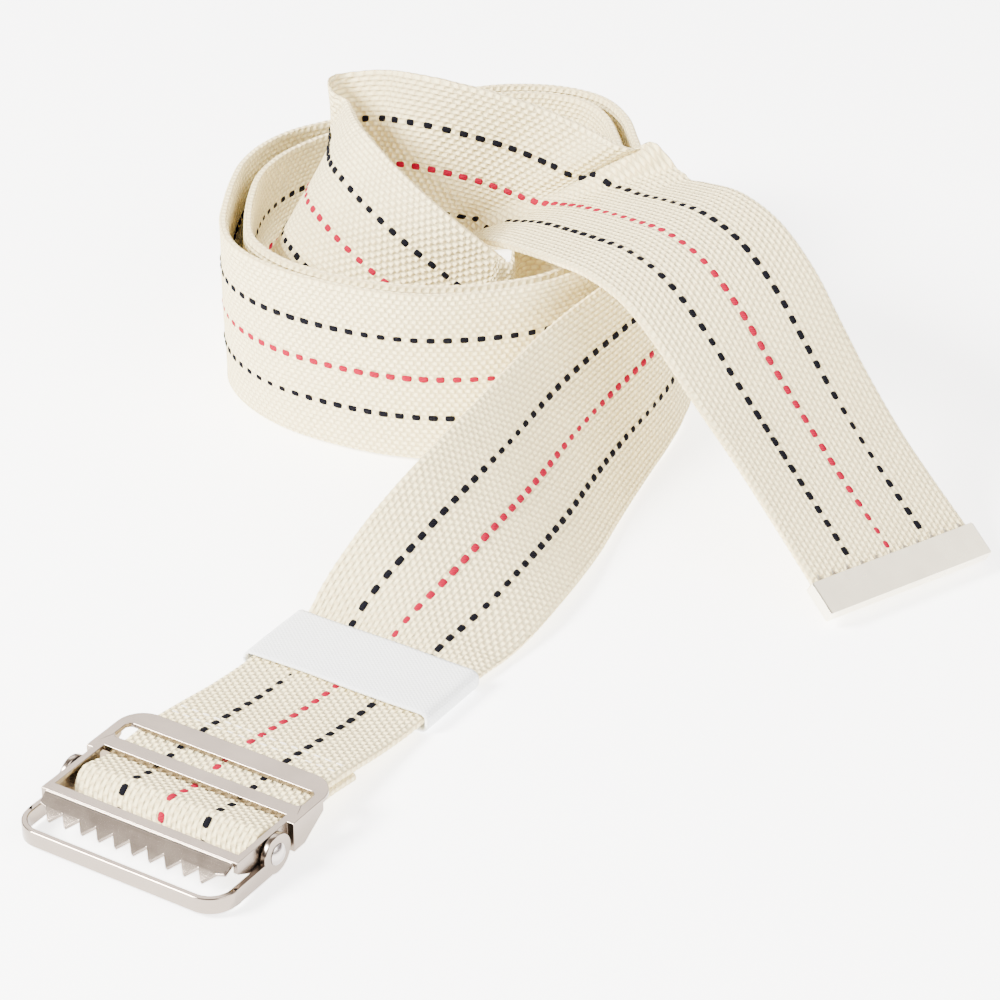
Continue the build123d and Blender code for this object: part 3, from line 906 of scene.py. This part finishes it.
class GAITBELT_OT_keeper(bpy.types.Operator):
    """Wraps the white keeper band round the strap"""

    bl_idname = "gaitbelt.keeper"
    bl_label = "Keeper band"

    def execute(self, context):
        settings = context.scene.gait_keeper
        colours = context.scene.gait_colours
        low, high = (np.array(v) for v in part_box("keeper_band"))
        middle = (low + high) / 2
        half = (high - low) / 2
        outer = band_outline(half[1], half[2], settings.corner)
        wall = settings.wall
        inner = band_outline(half[1] - wall, half[2] - wall, settings.corner - wall)
        points = band_face(outer, half[0], middle, settings, 1)
        points += band_face(inner, half[0], middle, settings, -1)
        rings = len(points) // len(outer)
        around = np.linalg.norm(np.diff(outer, axis=0, append=outer[:1]), axis=1)
        reach = np.concatenate([[0.0], np.cumsum(around)])
        uv = [(point[0], reach[i % len(outer)]) for i, point in enumerate(points)]
        keeper = mesh_object("keeper_tape", points, torus_faces(rings, len(outer)), uv)
        groups = shared_groups()
        weave = (0.0011, 0.0007, 0.00009)
        white = cotton("White keeper tape", groups, colours.keeper, colours.keeper_painted_shade, *weave)
        keeper.data.materials.append(white)
        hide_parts("keeper_band")
        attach(keeper, "keeper")
        return {"FINISHED"}


def band_face(outline, half_x, middle, settings, outward):
    """Rings of points from one edge of the band to the other, or back again on its inside."""
    rings = 25
    dip = 0.00012
    points = []
    for along in np.linspace(-outward, outward, rings):
        edge = abs(along) ** 14
        phase = 1.7 if along > 0 else 0.2
        for y, z in outline:
            wander = settings.slack / 2 * math.sin(y * 170 + phase) * abs(along)
            if outward > 0:
                swell = dip * math.sin(along * half_x * 330 + y * 60) if z > 0 else 0.0
                z += min(swell, 0.0) - math.copysign(settings.edge_round * edge, z)
            else:
                z += math.copysign(settings.flare * edge, z)
            x = along * half_x * 0.985 + wander
            points.append((middle[0] + x, middle[1] + y, middle[2] + z))
    return points


def torus_faces(rings, around):
    """Quads joining each ring to the next, and the last ring to the first."""
    faces = []
    for i in range(rings):
        for k in range(around):
            here = i * around
            on = ((i + 1) % rings) * around
            step = (k + 1) % around
            faces.append((here + k, here + step, on + step, on + k))
    return faces


def band_outline(half_y, half_z, corner):
    """Rounded rectangle in Y and Z, with enough points along its long sides to bend."""
    corner = min(corner, half_z - 0.0001)
    points = []
    for side_y, side_z, start in [(1, 1, 0), (-1, 1, 90), (-1, -1, 180), (1, -1, 270)]:
        for step in range(7):
            turn = math.radians(start + step * 15)
            y = side_y * (half_y - corner) + corner * math.cos(turn)
            z = side_z * (half_z - corner) + corner * math.sin(turn)
            points.append((y, z))
        if start in (0, 180):
            points += [(y * (1 - k / 14), z) for k in range(1, 28)]
    return np.array(points)


class GAITBELT_OT_buckle(bpy.types.Operator):
    """Plates the lever, bail and pin, and softens their edges"""

    bl_idname = "gaitbelt.buckle"
    bl_label = "Buckle"

    def execute(self, context):
        settings = context.scene.gait_buckle
        groups = shared_groups()
        colours = context.scene.gait_colours
        paints = {
            "lever_plate": plated("Nickel lever", groups, colours.nickel, 0.13, 10.0),
            "bail": plated("Nickel bail", groups, colours.nickel, 0.11, 14.0),
            "pivot_pin": plated("Nickel pin", groups, colours.pin_nickel, 0.16, 3.0),
        }
        for node, paint in paints.items():
            soften(paint_cad(node, paint), settings.edge_round)
        return {"FINISHED"}


def soften(obj, width):
    """Rounds a sheet part's sharp edges."""
    weld = obj.modifiers.new("Weld", "WELD")
    weld.merge_threshold = 0.000002
    rounding = obj.modifiers.new("Edges", "BEVEL")
    rounding.width = width
    rounding.segments = 3
    rounding.limit_method = "ANGLE"
    rounding.angle_limit = math.radians(20)
    rounding.use_clamp_overlap = True
    rounding.harden_normals = False


class GAITBELT_OT_tip(bpy.types.Operator):
    """Plates the end tip and adds the prong marks along its open edge"""

    bl_idname = "gaitbelt.tip"
    bl_label = "End tip"

    def execute(self, context):
        scene = context.scene
        groups = shared_groups()
        paint = plated("Nickel tip", groups, scene.gait_colours.tip_nickel, 0.17, 1.0)
        soften(paint_cad("strap_tip", paint), 0.0004)
        strap = scene.gait_strap
        surface = Surface(strap, scene.gait_buckle)
        prong_count = 11
        from_end = 0.0089
        points = []
        faces = []
        for k in range(prong_count):
            share = -0.9 + 0.18 * k
            where, ahead, side, normal = surface.at(surface.length - from_end, share)
            base = where + normal * (strap.thickness / 2 + 0.0001)
            first = len(points)
            points += prong(base, ahead, side, normal)
            faces += [tuple(first + v for v in f) for f in PRONG_FACES]
        prongs = mesh_object("tip_prongs", points, faces, smooth=False)
        prongs.data.materials.append(paint)
        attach(prongs, "belt")
        return {"FINISHED"}


def prong(base, ahead, side, normal):
    """The two corners at a prong's foot, its point, the top of its foot and the middle of its ridge."""
    half_width = 0.0009
    length = 0.0022
    return [
        base - side * half_width,
        base + side * half_width,
        base - ahead * length - normal * 0.0003,
        base + normal * 0.0004,
        base - ahead * 0.0011 + normal * 0.00015,
    ]


PRONG_FACES = [(0, 2, 4), (2, 1, 4), (0, 4, 3), (4, 1, 3), (0, 1, 2)]


class GAITBELT_OT_stage(bpy.types.Operator):
    """Sets out the pale floor, the soft lights and the camera"""

    bl_idname = "gaitbelt.stage"
    bl_label = "Stage"

    def execute(self, context):
        scene = context.scene
        settings = scene.gait_stage
        size = 3.0
        below = -0.0002
        corners = [(-size, -size), (size, -size), (size, size), (-size, size)]
        points = [(x, y, below) for x, y in corners]
        floor = mesh_object("stage_floor", points, [(0, 1, 2, 3)], smooth=False)
        paint, net, shader = material("Pale floor")
        place = net.node("ShaderNodeTexCoord").outputs["Object"]
        grain = net.noise(place, 6.0, 2.0)
        net.put(shader.inputs["Base Color"], net.mix(grain, (0.93, 0.93, 0.93, 1), (0.91, 0.91, 0.915, 1)))
        shader.inputs["Roughness"].default_value = 0.9
        shader.inputs["Emission Color"].default_value = (1, 1, 1, 1)
        shader.inputs["Emission Strength"].default_value = 3.4
        floor.data.materials.append(paint)
        light("Key", (-0.95, 0.7, 0.95), (0.05, 0.0, 0.02), 0.5, 125.0, (1.0, 0.985, 0.95))
        light("Fill", (-0.1, -1.1, 0.9), (0.05, 0.02, 0.03), 0.9, 28.0, (1.0, 0.985, 0.96))
        light("Side", (0.82, -0.49, 0.9), (0.106, -0.09, 0.005), 0.6, 3.2, (1.0, 0.97, 0.92))
        light("Rim", (0.9, 0.9, 1.1), (0.1, 0.05, 0.05), 0.8, 10.0, (1.0, 0.98, 0.95))
        world = bpy.data.worlds.new("Studio")
        scene.world = world
        world.use_nodes = True
        sky(Net(world.node_tree))
        data = bpy.data.cameras.new("Camera")
        data.lens = settings.lens
        data.sensor_width = 36.0
        data.clip_start = 0.01
        camera = bpy.data.objects.new("Camera", data)
        scene.collection.objects.link(camera)
        camera.location = settings.camera
        aim = Vector(settings.target) - Vector(settings.camera)
        camera.rotation_euler = aim.to_track_quat("-Z", "Y").to_euler()
        scene.camera = camera
        return {"FINISHED"}


def light(name, place, target, size, power, colour):
    """A soft square light, aimed at a point."""
    data = bpy.data.lights.new(name, "AREA")
    data.shape = "SQUARE"
    data.size = size
    data.energy = power
    data.color = colour
    lamp = bpy.data.objects.new(name, data)
    lamp.location = place
    lamp.rotation_euler = (Vector(target) - Vector(place)).to_track_quat("-Z", "Y").to_euler()
    bpy.context.scene.collection.objects.link(lamp)


def sky(net):
    """White studio for the metal to reflect, with a warm dark band low down and a duller top."""
    back = next(n for n in net.tree.nodes if n.type == "BACKGROUND")
    place = net.node("ShaderNodeTexCoord").outputs["Generated"]
    split = net.node("ShaderNodeSeparateXYZ")
    net.put(split.inputs[0], place)
    ramp = net.node("ShaderNodeValToRGB")
    net.put(ramp.inputs[0], split.outputs[2])
    stops = [
        (0.0, (0.90, 0.84, 0.78)),
        (0.08, (0.16, 0.11, 0.085)),
        (0.26, (0.20, 0.15, 0.125)),
        (0.36, (1.30, 1.22, 1.32)),
        (0.71, (1.30, 1.23, 1.22)),
        (0.83, (0.50, 0.41, 0.36)),
    ]
    ramp.color_ramp.elements[0].position = stops[0][0]
    ramp.color_ramp.elements[1].position = stops[-1][0]
    for position, _ in stops[1:-1]:
        ramp.color_ramp.elements.new(position)
    for element, (_, colour) in zip(ramp.color_ramp.elements, stops):
        element.color = (*colour, 1)
    net.put(back.inputs["Color"], ramp.outputs[0])
    back.inputs["Strength"].default_value = 1.0


class GAITBELT_PT_panel(bpy.types.Panel):
    """Settings and build steps"""

    bl_label = "Gait belt"
    bl_idname = "GAITBELT_PT_panel"
    bl_space_type = "VIEW_3D"
    bl_region_type = "UI"
    bl_category = "Gait belt"

    def draw(self, context):
        scene = context.scene
        for group in SETTINGS:
            settings = getattr(scene, group)
            box = self.layout.box()
            for name in settings.__annotations__:
                box.prop(settings, name)
        for step in STEPS:
            self.layout.operator(step.bl_idname)


STEPS = (
    GAITBELT_OT_stage,
    GAITBELT_OT_webbing,
    GAITBELT_OT_stitching,
    GAITBELT_OT_keeper,
    GAITBELT_OT_buckle,
    GAITBELT_OT_tip,
)
SETTINGS = {
    "gait_strap": StrapSettings,
    "gait_stripe": StripeSettings,
    "gait_keeper": KeeperSettings,
    "gait_buckle": BuckleSettings,
    "gait_stitch": StitchSettings,
    "gait_colours": ColourSettings,
    "gait_stage": StageSettings,
}
CLASSES = (*SETTINGS.values(), *STEPS, GAITBELT_PT_panel)


def register():
    for cls in CLASSES:
        bpy.utils.register_class(cls)
    for name, cls in SETTINGS.items():
        setattr(bpy.types.Scene, name, bpy.props.PointerProperty(type=cls))


def unregister():
    for name in SETTINGS:
        delattr(bpy.types.Scene, name)
    for cls in reversed(CLASSES):
        bpy.utils.unregister_class(cls)


def main():
    register()
    bpy.ops.gaitbelt.stage()
    bpy.ops.gaitbelt.webbing()
    bpy.ops.gaitbelt.stitching()
    bpy.ops.gaitbelt.keeper()
    bpy.ops.gaitbelt.buckle()
    bpy.ops.gaitbelt.tip()


if __name__ == "__main__":
    main()
